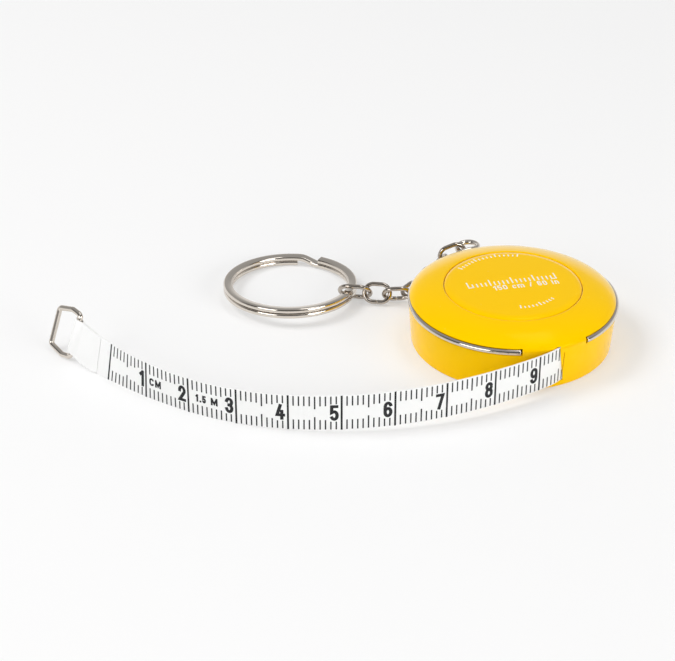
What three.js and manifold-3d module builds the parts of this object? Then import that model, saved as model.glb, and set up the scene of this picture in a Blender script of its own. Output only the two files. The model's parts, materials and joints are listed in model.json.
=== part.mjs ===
// Pocket measuring tape in a round case, with a push button, a wire bail, a short chain and a key ring.
// Millimetres, +Z up. The origin is the middle of the case's flat base, and the tape comes out at -Y.
// Each moving piece has its own origin on its hinge, slide or pivot.

import * as THREE from 'three';
import { mergeVertices } from 'three/addons/utils/BufferGeometryUtils.js';
import Module from 'manifold-3d';

const wasm = await Module();
wasm.setup();

const degree = Math.PI / 180;
const turn = 2 * Math.PI;

// Fits
const clearance = 0.2;
const cutOverrun = 2;

// Tape
const tapeLength = 1500;
const tapeWidth = 7.65;
const tapeThickness = 0.3;
const tapeOut = 95.3;
const tapeBlankEnd = 10.9;
const tapeFoldLength = 7.5;
const mouthBearing = -87.8;

// Case
const wallTaper = 0.7;
const footFillet = 0.5;
const wallThickness = 1.1;
const floorThickness = 1.2;
const partingDrop = 0.25;
const tailRoom = 1.1;
const domeShares = { steep: [0.01, 0.45], flat: [0.48, 0.86] };

// Push button and its brake
const buttonRadius = 13.6;
const buttonThickness = 1.3;
const buttonEdgeFillet = 0.75;
const buttonCrown = 0.2;
const buttonProud = 0.25;
const buttonTravel = 0.9;
const crownShare = 0.8;
const stemWall = 0.8;
const brakeWidth = 2.2;
const brakeThickness = 0.9;

// Post, drum and springs
const postRadius = 2;
const postDrop = 2.45;
const drumRadius = 13.45;
const drumWall = 1;
const drumFloor = 0.7;
const coverThickness = 0.5;
const springStripThickness = 0.25;
const springStripWidth = 4.4;
const springTurns = 6;
const buttonSpringWire = 0.32;
const buttonSpringRadius = 1.75;
const buttonSpringTurns = 4.5;

// Wire bail
const bailWire = 1.1;
const bailInset = 0.2;
const bailHalfGap = 19.7;
const bailEndGap = 0.3;
const bailEaseBearing = 72;
const eyeRadius = 2.1;
const crossingGap = 0.1;

// Chain
const linkWire = 0.9;
const linkLength = 6.2;
const linkWidth = 4.6;
const ringLinkLength = 7.3;
const ringLinkWidth = 5.5;
const linkButtGap = 0.15;
const linkPlay = 0.35;

// Key ring
const ringOuterRadius = 13.9;
const ringWidth = 1.9;
const ringTurnHeight = 0.98;
const ringTurnGap = 0.08;
const ringChamfer = 0.25;
const ringEndGap = 2;

// Pull loop
const loopWire = 1.1;
const loopDepth = 6;
const loopBar = 8.7;
const loopCornerRadius = 0.8;
const loopButtGap = 0.4;
const loopShares = [
  { alongShare: 0, halfShare: 1 },
  { alongShare: 0.4, halfShare: 1.08 },
  { alongShare: 1, halfShare: 0.87 },
];

// Facets
const caseSides = 48;
const drumSides = 36;
const wireSides = 8;
const springWireSides = 6;
const sleeveSides = 14;
const domeSteps = 9;
const filletSteps = 4;
const armSteps = 26;
const eyeSteps = 18;
const bendSteps = 6;
const ringSteps = 144;

// Heights that stack up from the floor of the case
const tapeBottom = floorThickness + 2 * clearance;
const tapeTop = tapeBottom + tapeWidth;
const partingHeight = tapeTop - partingDrop;
const coverBottom = tapeTop + clearance;
const coverTop = coverBottom + coverThickness;
const buttonBottom = coverTop + buttonTravel + clearance;
const buttonEdgeTop = buttonBottom + buttonThickness;
const domeEdgeHeight = buttonEdgeTop - buttonProud;
const postTop = buttonBottom - postDrop;
const brakeTop = coverBottom - clearance;
const brakeBottom = brakeTop - brakeThickness;
const springStripBottom = floorThickness + 2 * clearance + drumFloor;

// Radii that stack outwards from the drum, through the tape wound on it, to the wall of the case
const coilCore = drumRadius + clearance;
const coilRadius = Math.sqrt(coilCore ** 2 + ((tapeLength - tapeOut) * tapeThickness) / Math.PI);
const innerRadius = coilRadius + tailRoom;
const footRadius = innerRadius + wallThickness;
const rimRadius = footRadius + wallTaper;
const mouthRadius = (rimRadius + footRadius) / 2;
const exitOffset = coilRadius + clearance + tapeThickness / 2;
const tailReach = Math.sqrt((innerRadius - clearance - tapeThickness / 2) ** 2 - exitOffset ** 2);
const tailInside = Math.sqrt(mouthRadius ** 2 - exitOffset ** 2);
const hiddenTail = tailInside + tailReach;
const holeRadius = buttonRadius + clearance;
const drumInner = drumRadius - drumWall;
const stemInner = postRadius + 2 * clearance;
const stemRadius = stemInner + stemWall;
const brakeRadius = stemRadius + clearance + brakeWidth;
const freeLength = tapeOut + tapeBlankEnd;

// Heading of the tape in degrees at shares of its free length. Its first heading is that of its slot.
const tapeCourse = [
  { lengthShare: 0.028, heading: 196 },
  { lengthShare: 0.076, heading: 190 },
  { lengthShare: 0.144, heading: 186.3 },
  { lengthShare: 0.332, heading: 169.7 },
  { lengthShare: 0.521, heading: 152.1 },
  { lengthShare: 0.709, heading: 131.5 },
  { lengthShare: 0.898, heading: 118.9 },
  { lengthShare: 1, heading: 117.2 },
];
const floorContactShare = 0.7;
const tipRiseShare = 0.916;
const tipLean = 23.2;
const bendShares = [0.16, 0.44, 0.72];

// Each link's heading and twist in degrees, and the height of its far end as a share of the eye's
const linkCourse = [
  { heading: 171, riseShare: 0.71, twist: 90 },
  { heading: 184, riseShare: 0.18, twist: 20 },
  { heading: 209, riseShare: 0.03, twist: 110 },
  { heading: 208, riseShare: 0, twist: -10 },
  { heading: 161, riseShare: 0, twist: 62 },
  { heading: 152, riseShare: 0, twist: -59 },
];
const ringLinkCourse = { heading: 151, riseShare: 0, twist: 56 };
const eyeContactBearing = 180;
const ringSlack = 0.9;
const ringBarBearing = -33;
const ringHighBearing = -110;
const ringStepBearing = 63;
const ringRampAngle = 18;

// The links that lie on the floor have their middle plane through this height.
const lyingHeight = ((ringLinkWidth - linkWire) / 2) * Math.sin(ringLinkCourse.twist * degree) + linkWire / 2;

const yellow = { color: 0xf9c900, roughness: 0.35, metalness: 0 };
const steel = { color: 0xb9b5b0, roughness: 0.22, metalness: 1 };
const springSteel = { color: 0x8d9096, roughness: 0.35, metalness: 1 };
const whiteTape = { color: 0xf4f4f2, roughness: 0.45, metalness: 0 };
const innerPlastic = { color: 0xe6e4dc, roughness: 0.5, metalness: 0 };
const brakeRubber = { color: 0x3a3a3c, roughness: 0.8, metalness: 0 };

// Merges shared corners and drops faces that have no area, so that the mesh is one closed body.
function cleaned(geometry) {
  const bare = geometry.clone();
  bare.deleteAttribute('normal');
  bare.deleteAttribute('uv');
  const merged = mergeVertices(bare);
  const index = merged.index.array;
  const kept = [];
  for (let i = 0; i < index.length; i += 3) {
    const [a, b, c] = [index[i], index[i + 1], index[i + 2]];
    if (a !== b && b !== c && a !== c) kept.push(a, b, c);
  }
  merged.setIndex(kept);
  return signedVolume(merged) < 0 ? flipped(merged) : merged;
}

function signedVolume(geometry) {
  const position = geometry.attributes.position;
  const index = geometry.index.array;
  const corner = [new THREE.Vector3(), new THREE.Vector3(), new THREE.Vector3()];
  let volume = 0;
  for (let i = 0; i < index.length; i += 3) {
    corner.forEach((point, k) => point.fromBufferAttribute(position, index[i + k]));
    volume += corner[0].dot(corner[1].clone().cross(corner[2]));
  }
  return volume;
}

function flipped(geometry) {
  const index = [...geometry.index.array];
  for (let i = 0; i < index.length; i += 3) {
    [index[i + 1], index[i + 2]] = [index[i + 2], index[i + 1]];
  }
  geometry.setIndex(index);
  return geometry;
}

function toSolid(geometry) {
  const closed = cleaned(geometry);
  const vertProperties = new Float32Array(closed.attributes.position.array);
  const triVerts = new Uint32Array(closed.index.array);
  return new wasm.Manifold(new wasm.Mesh({ numProp: 3, vertProperties, triVerts }));
}

function toGeometry(solid) {
  const mesh = solid.getMesh();
  const geometry = new THREE.BufferGeometry();
  geometry.setAttribute('position', new THREE.BufferAttribute(mesh.vertProperties, 3));
  geometry.setIndex(new THREE.BufferAttribute(mesh.triVerts, 1));
  return geometry;
}

function piece(name, geometry, finish) {
  const mesh = new THREE.Mesh(geometry, new THREE.MeshStandardMaterial(finish));
  mesh.name = name;
  geometry.computeVertexNormals();
  return mesh;
}

// Turns a profile of [radius, height] pairs about the Z axis.
function turned(profile, sides) {
  const points = profile.map(([radius, height]) => new THREE.Vector2(radius, height));
  return new THREE.LatheGeometry(points, sides).rotateX(Math.PI / 2);
}

function ringProfile(inner, outer, bottom, top) {
  return [[inner, bottom], [outer, bottom], [outer, top], [inner, top], [inner, bottom]];
}

function fillet(centreX, centreY, radius, from, to) {
  const points = [];
  for (let i = 0; i <= filletSteps; i += 1) {
    const angle = (from + ((to - from) * i) / filletSteps) * degree;
    points.push([centreX + radius * Math.cos(angle), centreY + radius * Math.sin(angle)]);
  }
  return points;
}

function round(radius, height, bottom, sides) {
  return new THREE.CylinderGeometry(radius, radius, height, sides)
    .rotateX(Math.PI / 2).translate(0, 0, bottom + height / 2);
}

// A route whose stations are the points themselves, so that bends can have more of them.
class Route extends THREE.CatmullRomCurve3 {
  getUtoTmapping(share) {
    return share;
  }
}

function alongRoute(points, section) {
  const shape = new THREE.Shape(section);
  const extrudePath = new Route(points);
  return new THREE.ExtrudeGeometry(shape, { steps: points.length - 1, extrudePath });
}

function roundSection(radius, sides) {
  const section = [];
  for (let i = 0; i < sides; i += 1) {
    const angle = (turn * (i + 1 / 2)) / sides;
    section.push(new THREE.Vector2(radius * Math.cos(angle), radius * Math.sin(angle)));
  }
  return section;
}

// A flat strip on edge. Each station has its bottom point, heading and lean.
function strip(stations, thickness, width) {
  const corners = [];
  const faces = [];
  stations.forEach(({ point, heading, lean }, row) => {
    const right = new THREE.Vector3(Math.sin(heading), -Math.cos(heading), 0);
    const rise = new THREE.Vector3(0, 0, Math.cos(lean)).addScaledVector(right, Math.sin(lean));
    const across = right.clone().multiplyScalar(Math.cos(lean));
    across.z -= Math.sin(lean);
    for (const [side, height] of [[-1, 0], [1, 0], [1, width], [-1, width]]) {
      const corner = point.clone().addScaledVector(rise, height);
      corner.addScaledVector(across, (side * thickness) / 2);
      corners.push(corner.x, corner.y, corner.z);
    }
    if (row === 0) return;
    const here = 4 * row;
    for (let k = 0; k < 4; k += 1) {
      const next = (k + 1) % 4;
      faces.push(here - 4 + k, here - 4 + next, here + next, here - 4 + k, here + next, here + k);
    }
  });
  const last = 4 * (stations.length - 1);
  faces.push(0, 2, 1, 0, 3, 2, last, last + 1, last + 2, last, last + 2, last + 3);
  const geometry = new THREE.BufferGeometry();
  geometry.setAttribute('position', new THREE.Float32BufferAttribute(corners, 3));
  geometry.setIndex(faces);
  return geometry;
}

function bearingPoint(radius, bearing, height) {
  return new THREE.Vector3(radius * Math.cos(bearing * degree), radius * Math.sin(bearing * degree), height);
}

// The tape's course: straight out of its slot along a tangent to the wound tape, then the measured bends.
const exitSpread = Math.acos(exitOffset / mouthRadius) / degree;
const exitHeading = mouthBearing + exitSpread + 270;
const loopHalf = (loopBar / 2) * Math.max(...loopShares.map(({ halfShare }) => halfShare));
const loopLowest = loopHalf * Math.cos(tipLean * degree) + loopWire / 2;
const tipLift = loopLowest - (tapeWidth / 2) * Math.cos(tipLean * degree);

function courseHeading(distance) {
  const course = [{ lengthShare: 0, heading: exitHeading }, ...tapeCourse];
  const share = Math.min(Math.max(distance / freeLength, 0), 1);
  const next = Math.max(1, course.findIndex((stop) => stop.lengthShare >= share));
  const [from, to] = [course[next - 1], course[next]];
  const part = (share - from.lengthShare) / (to.lengthShare - from.lengthShare);
  return from.heading + (to.heading - from.heading) * part;
}

function smooth(part) {
  const clipped = Math.min(Math.max(part, 0), 1);
  return (1 - Math.cos(Math.PI * clipped)) / 2;
}

function tapeLift(distance) {
  const share = distance / freeLength;
  const fall = tapeBottom * (1 - smooth(share / floorContactShare));
  return fall + tipLift * smooth((share - tipRiseShare) / (2 * (1 - tipRiseShare))) * 2;
}

function tapeLean(distance) {
  const share = distance / freeLength;
  return tipLean * degree * smooth((share - floorContactShare) / (2 * (1 - floorContactShare))) * 2;
}

const courseSteps = 428;
const coursePoints = [bearingPoint(mouthRadius, mouthBearing, 0)];
for (let i = 0; i < courseSteps; i += 1) {
  const step = freeLength / courseSteps;
  const heading = courseHeading(step * (i + 1 / 2)) * degree;
  const next = coursePoints[i].clone();
  coursePoints.push(next.add(new THREE.Vector3(Math.cos(heading), Math.sin(heading), 0).multiplyScalar(step)));
}

function tapeStation(distance) {
  const heading = courseHeading(distance) * degree;
  const point = new THREE.Vector3();
  if (distance <= 0) {
    point.copy(coursePoints[0]);
    point.x += distance * Math.cos(heading);
    point.y += distance * Math.sin(heading);
  } else {
    const place = (distance / freeLength) * courseSteps;
    const before = Math.min(Math.floor(place), courseSteps - 1);
    point.lerpVectors(coursePoints[before], coursePoints[before + 1], place - before);
  }
  point.z = tapeLift(Math.max(distance, 0));
  return { point, heading, lean: tapeLean(Math.max(distance, 0)) };
}

function tapeStations(from, to, steps) {
  const stations = [];
  for (let i = 0; i <= steps; i += 1) stations.push(tapeStation(from + ((to - from) * i) / steps));
  return stations;
}

// The passage that the tape takes through the wall, as wide as the tape and its clearance.
function tapePassage() {
  const size = tapeThickness + 2 * clearance;
  const length = 2 * (tailInside + cutOverrun);
  const height = tapeWidth + 2 * clearance;
  return new THREE.BoxGeometry(length, size, height)
    .rotateZ(exitHeading * degree)
    .translate(coursePoints[0].x, coursePoints[0].y, tapeBottom + tapeWidth / 2);
}

// The bail's wire runs round the seam and makes one full turn at the back as its eye.
function bailRoute(endGap) {
  const run = rimRadius - bailInset;
  const half = (bailWire + crossingGap) / 2;
  const spare = endGap / run / degree;
  const from = -90 + bailHalfGap - spare;
  const points = [];
  for (let i = 0; i < armSteps; i += 1) {
    const bearing = from + ((90 - from) * i) / armSteps;
    const ease = smooth((bearing - bailEaseBearing) / (90 - bailEaseBearing));
    points.push(bearingPoint(run, bearing, partingHeight - half * ease));
  }
  for (let i = 0; i <= eyeSteps; i += 1) {
    const around = bearingPoint(eyeRadius, -90 - (360 * i) / eyeSteps, 0);
    around.y += run + eyeRadius;
    around.z = partingHeight - half + (2 * half * i) / eyeSteps;
    points.push(around);
  }
  for (let i = armSteps - 1; i >= 0; i -= 1) {
    const bearing = 180 - from - ((90 - from) * i) / armSteps;
    const ease = smooth((180 - bearing - bailEaseBearing) / (90 - bailEaseBearing));
    points.push(bearingPoint(run, bearing, partingHeight + half * ease));
  }
  return points.filter((point, i) => i === 0 || point.distanceTo(points[i - 1]) > clearance / 2);
}

// The groove is cut in two halves that meet at the eye's far side, where the wire crosses itself.
function bailGroove() {
  const route = bailRoute(bailEndGap);
  const middle = Math.floor(route.length / 2);
  const section = roundSection(bailWire / 2 + clearance, wireSides);
  const first = toSolid(alongRoute(route.slice(0, middle + 1), section));
  return first.add(toSolid(alongRoute(route.slice(middle), section)));
}

function lowerCase() {
  const rim = partingHeight - clearance / 2;
  const profile = [
    [0, 0],
    ...fillet(footRadius - footFillet, footFillet, footFillet, -90, 0),
    [rimRadius, rim],
    [rimRadius - wallThickness, rim],
    [innerRadius, floorThickness],
    [postRadius, floorThickness],
    [postRadius, postTop],
    [0, postTop],
  ];
  const slitHeight = postTop - springStripBottom + clearance + cutOverrun;
  const slit = new THREE.BoxGeometry(2 * postRadius + cutOverrun, springStripThickness + 2 * clearance, slitHeight)
    .translate(0, 0, springStripBottom - clearance + slitHeight / 2);
  const bowl = toSolid(turned(profile, caseSides)).subtract(toSolid(tapePassage()));
  return piece('lower_case', toGeometry(bowl.subtract(toSolid(slit)).subtract(bailGroove())), yellow);
}

// The dome's outline, from its rim to the edge of the button's hole, lowered by the wall for its inside.
function domeCurve(fromRadius, drop) {
  const seam = partingHeight + clearance / 2;
  const rimTop = domeEdgeHeight - drop;
  const across = fromRadius - holeRadius;
  const rise = rimTop - seam;
  const curve = new THREE.CubicBezierCurve(
    new THREE.Vector2(fromRadius, seam),
    new THREE.Vector2(fromRadius - across * domeShares.steep[0], seam + rise * domeShares.steep[1]),
    new THREE.Vector2(fromRadius - across * domeShares.flat[0], seam + rise * domeShares.flat[1]),
    new THREE.Vector2(holeRadius, rimTop),
  );
  return curve.getPoints(domeSteps).map(({ x, y }) => [x, y]);
}

function upperCase() {
  const outside = domeCurve(rimRadius, 0);
  const inside = domeCurve(rimRadius - wallThickness, wallThickness).reverse();
  const profile = [...outside, ...inside, outside[0]];
  const dome = toSolid(turned(profile, caseSides)).subtract(toSolid(tapePassage()));
  return piece('upper_case', toGeometry(dome.subtract(bailGroove())), yellow);
}

function releaseButton() {
  const edge = fillet(buttonRadius - buttonEdgeFillet, buttonEdgeTop - buttonEdgeFillet, buttonEdgeFillet, 0, 80);
  const profile = [
    [0, buttonBottom],
    [stemInner, buttonBottom],
    [stemInner, brakeBottom],
    [stemRadius, brakeBottom],
    [stemRadius, buttonBottom],
    [buttonRadius, buttonBottom],
    ...edge,
    [buttonRadius / 2, buttonEdgeTop + buttonCrown * crownShare],
    [0, buttonEdgeTop + buttonCrown],
  ];
  return piece('release_button', cleaned(turned(profile, caseSides)), yellow);
}

function brakeDisc() {
  const profile = ringProfile(stemRadius + clearance, brakeRadius, brakeBottom, brakeTop);
  return piece('brake_disc', cleaned(turned(profile, drumSides)), brakeRubber);
}

function tapeDrum() {
  const bottom = floorThickness + clearance;
  const floorTop = bottom + drumFloor;
  const bore = postRadius + clearance;
  const profile = [
    [bore, bottom],
    [drumRadius, bottom],
    [drumRadius, coverBottom - clearance],
    [drumInner, coverBottom - clearance],
    [drumInner, floorTop],
    [bore, floorTop],
    [bore, bottom],
  ];
  return piece('tape_drum', cleaned(turned(profile, drumSides)), innerPlastic);
}

function drumCover() {
  const flange = (coilCore + coilRadius) / 2 + drumWall;
  const profile = ringProfile(stemRadius + clearance, flange, coverBottom, coverTop);
  return piece('drum_cover', cleaned(turned(profile, drumSides)), innerPlastic);
}

function woundTape() {
  const profile = ringProfile(coilCore, coilRadius, tapeBottom, tapeTop);
  return piece('wound_tape', cleaned(turned(profile, caseSides)), whiteTape);
}

// The mainspring's inner end lies in the post's slit, and its turns fill the drum.
function mainspring() {
  const stepsPerTurn = 12;
  const outer = drumInner - clearance - springStripThickness / 2;
  const inner = postRadius + 2 * clearance + springStripThickness;
  const stations = [-postRadius / 2, 0, postRadius].map((x) => ({ x, y: 0, heading: 0 }));
  stations.push({ x: postRadius + clearance, y: 0, heading: Math.PI / 4 });
  const steps = springTurns * stepsPerTurn;
  for (let i = 1; i <= steps; i += 1) {
    const angle = (turn * i) / stepsPerTurn;
    const radius = inner + ((outer - inner) * i) / steps;
    stations.push({ x: radius * Math.cos(angle), y: radius * Math.sin(angle), heading: angle + Math.PI / 2 });
  }
  const rows = stations.map(({ x, y, heading }) => (
    { point: new THREE.Vector3(x, y, springStripBottom), heading, lean: 0 }));
  return piece('mainspring', cleaned(strip(rows, springStripThickness, springStripWidth)), springSteel);
}

// The coil spring stands on the post inside the button's stem.
function buttonSpring() {
  const stepsPerTurn = 10;
  const steps = buttonSpringTurns * stepsPerTurn;
  const low = postTop + clearance + buttonSpringWire / 2;
  const high = buttonBottom - clearance - buttonSpringWire / 2;
  const points = [];
  for (let i = 0; i <= steps; i += 1) {
    points.push(bearingPoint(buttonSpringRadius, (360 * i) / stepsPerTurn, low + ((high - low) * i) / steps));
  }
  const geometry = alongRoute(points, roundSection(buttonSpringWire / 2, springWireSides));
  return piece('button_spring', cleaned(geometry), springSteel);
}

function wireBail() {
  return piece('wire_bail', cleaned(alongRoute(bailRoute(0), roundSection(bailWire / 2, wireSides))), steel);
}

function movedTo(mesh, origin) {
  mesh.geometry.translate(-origin.x, -origin.y, -origin.z);
  mesh.position.copy(origin);
  return mesh;
}

function tapePieces() {
  const [first, second, third] = bendShares.map((share) => share * freeLength);
  const half = clearance / 2;
  const root = strip(tapeStations(-hiddenTail, 0, 2).concat(tapeStations(0, first - half, 12).slice(1)),
    tapeThickness, tapeWidth);
  const spanOne = strip(tapeStations(first + half, second - half, 16), tapeThickness, tapeWidth);
  const spanTwo = strip(tapeStations(second + half, third - half, 16), tapeThickness, tapeWidth);
  return [
    movedTo(piece('tape_root', cleaned(root), whiteTape), coursePoints[0]),
    movedTo(piece('tape_span_1', cleaned(spanOne), whiteTape), tapeStation(first).point),
    movedTo(piece('tape_span_2', cleaned(spanTwo), whiteTape), tapeStation(second).point),
    movedTo(piece('tape_tip', tapeTip(third + half), whiteTape), tapeStation(third).point),
  ];
}

// The tape's end is folded round the loop's bar and bonded back on itself.
function tapeTip(from) {
  const foldInner = loopWire / 2 + clearance;
  const foldOuter = foldInner + tapeThickness;
  const blade = toSolid(strip(tapeStations(from, freeLength - foldInner, 18), tapeThickness, tapeWidth));
  const foldStations = tapeStations(freeLength - tapeFoldLength, freeLength - foldInner, 5);
  const fold = toSolid(strip(foldStations, 2 * tapeThickness, tapeWidth));
  const sleeve = toSolid(onLoopAxis(round(foldOuter, tapeWidth, 0, sleeveSides)));
  const bore = toSolid(onLoopAxis(round(foldInner, tapeWidth + 2 * cutOverrun, -cutOverrun, sleeveSides)));
  return toGeometry(blade.add(fold).add(sleeve).subtract(bore));
}

// Stands a shape that was made along Z on the tape's end, leaning with it and facing along it.
function onLoopAxis(geometry) {
  const { point, heading, lean } = tapeStation(freeLength);
  return geometry.applyMatrix4(loopFrame(heading, lean).setPosition(point));
}

function loopFrame(heading, lean) {
  const along = new THREE.Vector3(Math.cos(heading), Math.sin(heading), 0);
  const right = new THREE.Vector3(Math.sin(heading), -Math.cos(heading), 0);
  const rise = new THREE.Vector3(0, 0, Math.cos(lean)).addScaledVector(right, Math.sin(lean));
  return new THREE.Matrix4().makeBasis(along, rise.clone().cross(along), rise);
}

// A route with straight runs between corners, each corner an arc of one radius.
function corneredRoute(corners, radius, arcSteps) {
  const points = [corners[0]];
  for (let i = 1; i < corners.length - 1; i += 1) {
    const back = corners[i - 1].clone().sub(corners[i]).normalize();
    const ahead = corners[i + 1].clone().sub(corners[i]).normalize();
    const halfTurn = back.angleTo(ahead) / 2;
    const middle = back.clone().add(ahead).normalize();
    const centre = corners[i].clone().addScaledVector(middle, radius / Math.sin(halfTurn));
    const start = corners[i].clone().addScaledVector(back, radius / Math.tan(halfTurn)).sub(centre);
    const sweep = Math.PI - 2 * halfTurn;
    const axis = back.clone().cross(ahead).normalize().negate();
    for (let k = 0; k <= arcSteps; k += 1) {
      points.push(start.clone().applyAxisAngle(axis, (sweep * k) / arcSteps).add(centre));
    }
  }
  points.push(corners[corners.length - 1]);
  return points;
}

function pullLoop() {
  const flat = (along, height) => new THREE.Vector3(along, 0, height);
  const half = loopBar / 2;
  const outline = loopShares.map(({ alongShare, halfShare }) => [alongShare * loopDepth, halfShare * half]);
  const corners = [
    flat(0, loopButtGap / 2),
    ...outline.map(([along, height]) => flat(along, height)),
    ...outline.reverse().map(([along, height]) => flat(along, -height)),
    flat(0, -loopButtGap / 2),
  ];
  const wire = alongRoute(corneredRoute(corners, loopCornerRadius, 3), roundSection(loopWire / 2, wireSides));
  const mesh = piece('pull_loop', cleaned(wire), steel);
  const { point, heading, lean } = tapeStation(freeLength);
  const frame = loopFrame(heading, lean);
  const middle = new THREE.Vector3(0, 0, tapeWidth / 2).applyMatrix4(frame).add(point);
  mesh.applyMatrix4(frame.setPosition(middle));
  return mesh;
}

// An oval link along X with its width along Y, made of one bent wire whose ends nearly meet.
function ovalLink(length, width) {
  const bend = (width - linkWire) / 2;
  const straight = (length - width) / 2;
  const points = [new THREE.Vector3(linkButtGap / 2, -bend, 0)];
  for (const side of [1, -1]) {
    for (let i = 0; i <= bendSteps; i += 1) {
      const point = bearingPoint(bend, side * -90 + (180 * i) / bendSteps, 0);
      point.x += side * straight;
      points.push(point);
    }
  }
  points.push(new THREE.Vector3(-linkButtGap / 2, -bend, 0));
  return alongRoute(points, roundSection(linkWire / 2, wireSides));
}

// Sets a link between its two end wires. Its start sits inside the end wire of the piece before it.
function placedLink(name, course, length, width, before) {
  const span = length - linkWire;
  const start = before.end.clone().addScaledVector(before.direction, -before.seat);
  const endHeight = lyingHeight + (partingHeight - lyingHeight) * course.riseShare;
  const climb = endHeight - start.z;
  const run = Math.sqrt(span ** 2 - climb ** 2);
  const heading = course.heading * degree;
  const direction = new THREE.Vector3(run * Math.cos(heading), run * Math.sin(heading), climb).normalize();
  const side = new THREE.Vector3(-Math.sin(heading), Math.cos(heading), 0);
  const top = direction.clone().cross(side);
  const across = side.multiplyScalar(Math.cos(course.twist * degree));
  across.addScaledVector(top, Math.sin(course.twist * degree));
  const frame = new THREE.Matrix4().makeBasis(direction, across, direction.clone().cross(across));
  const centre = start.clone().addScaledVector(direction, span / 2);
  const offset = centre.sub(before.end).applyMatrix4(frame.clone().transpose());
  const mesh = piece(name, cleaned(ovalLink(length, width).translate(offset.x, offset.y, offset.z)), steel);
  mesh.applyMatrix4(frame.setPosition(before.end));
  const end = start.clone().addScaledVector(direction, span);
  return { mesh, end, direction, across, seat: linkWire + linkPlay };
}

function chain() {
  const eyeCentre = new THREE.Vector3(0, rimRadius - bailInset + eyeRadius, partingHeight);
  const direction = bearingPoint(1, eyeContactBearing, 0);
  const end = eyeCentre.addScaledVector(direction, eyeRadius);
  end.z -= (bailWire + crossingGap) / 4;
  const links = [{ end, direction, seat: (bailWire + linkWire) / 2 + linkPlay }];
  linkCourse.forEach((course, i) => {
    links.push(placedLink(`chain_link_${i + 1}`, course, linkLength, linkWidth, links[i]));
  });
  const last = links[links.length - 1];
  links.push(placedLink('ring_link', ringLinkCourse, ringLinkLength, ringLinkWidth, last));
  return links.slice(1);
}

// The split ring is two turns of flat-sided wire, stepped where one turn passes over the other.
function splitRing() {
  const middle = ringOuterRadius - ringWidth / 2;
  const [x, y, cut] = [ringTurnHeight / 2, ringWidth / 2, ringChamfer];
  const section = [
    [x - cut, y], [x, y - cut], [x, cut - y], [x - cut, -y], [cut - x, -y], [-x, cut - y], [-x, y - cut], [cut - x, y],
  ].map(([height, across]) => new THREE.Vector2(height, across));
  const rise = ringTurnHeight + ringTurnGap;
  const from = ringStepBearing + ringEndGap / 2;
  const rampFrom = from + 360 - ringEndGap - ringRampAngle;
  const to = rampFrom + 360 - ringEndGap;
  const points = [];
  for (let i = 0; i <= ringSteps; i += 1) {
    const bearing = from + ((to - from) * i) / ringSteps;
    const height = ringTurnHeight / 2 + rise * smooth((bearing - rampFrom) / ringRampAngle);
    points.push(bearingPoint(middle, bearing, height));
  }
  return alongRoute(points, section);
}

function keyRing(ringLink) {
  const middle = ringOuterRadius - ringWidth / 2;
  const lift = linkWire + 2 * clearance;
  const spread = Math.cos((ringHighBearing - ringBarBearing) * degree);
  const tilt = Math.asin(lift / (ringOuterRadius + middle * spread));
  const tiltAxis = bearingPoint(1, ringHighBearing - 90, 0);
  const frame = new THREE.Matrix4().makeRotationAxis(tiltAxis, tilt);
  const bar = bearingPoint(middle, ringBarBearing, ringTurnHeight + ringTurnGap / 2);
  const pivot = ringLink.end.clone().addScaledVector(ringLink.direction, -(linkWire + ringWidth) / 2 - ringSlack);
  const barTurned = bar.clone().applyMatrix4(frame);
  pivot.z = ringOuterRadius * Math.sin(tilt) + barTurned.z;
  const mesh = piece('key_ring', cleaned(splitRing().translate(-bar.x, -bar.y, -bar.z)), steel);
  mesh.applyMatrix4(frame.setPosition(pivot));
  return mesh;
}

const links = chain();
const keychain = new THREE.Group();
keychain.add(lowerCase(), upperCase(), wireBail(), releaseButton(), brakeDisc(), buttonSpring());
keychain.add(tapeDrum(), drumCover(), mainspring(), woundTape(), ...tapePieces(), pullLoop());
keychain.add(...links.map(({ mesh }) => mesh), keyRing(links[links.length - 1]));

export default keychain;
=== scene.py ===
# A pocket measuring tape in a round case, with its bail, chain and key ring, lying on a pale table.
# Blender's units are metres, so each size is written in millimetres times mm.
# Bearings, headings and turns without a unit are in degrees.

import json
import math

import bmesh
import bpy
import numpy as np
from mathutils import Matrix, Vector


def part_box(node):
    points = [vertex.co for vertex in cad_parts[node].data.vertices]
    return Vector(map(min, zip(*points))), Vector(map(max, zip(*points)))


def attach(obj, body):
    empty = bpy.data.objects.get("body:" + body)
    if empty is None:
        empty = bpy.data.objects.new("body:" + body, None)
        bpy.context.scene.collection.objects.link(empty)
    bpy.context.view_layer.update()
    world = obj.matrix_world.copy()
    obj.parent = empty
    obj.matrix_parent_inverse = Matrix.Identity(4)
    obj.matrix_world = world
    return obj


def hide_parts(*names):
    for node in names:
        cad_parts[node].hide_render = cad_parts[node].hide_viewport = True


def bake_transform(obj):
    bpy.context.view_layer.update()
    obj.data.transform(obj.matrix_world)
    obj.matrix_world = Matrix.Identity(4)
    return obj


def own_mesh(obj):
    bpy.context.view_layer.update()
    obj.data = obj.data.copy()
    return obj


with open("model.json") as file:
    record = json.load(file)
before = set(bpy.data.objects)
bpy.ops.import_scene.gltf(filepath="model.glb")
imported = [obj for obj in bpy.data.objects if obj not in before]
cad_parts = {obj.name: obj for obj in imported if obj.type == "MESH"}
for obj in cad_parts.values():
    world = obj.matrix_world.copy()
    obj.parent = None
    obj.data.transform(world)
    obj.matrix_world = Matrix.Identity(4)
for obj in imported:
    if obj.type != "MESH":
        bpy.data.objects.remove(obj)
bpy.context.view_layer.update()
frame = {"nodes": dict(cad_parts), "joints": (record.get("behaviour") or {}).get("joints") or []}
joints = {joint["name"]: joint for joint in frame["joints"]}

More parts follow.
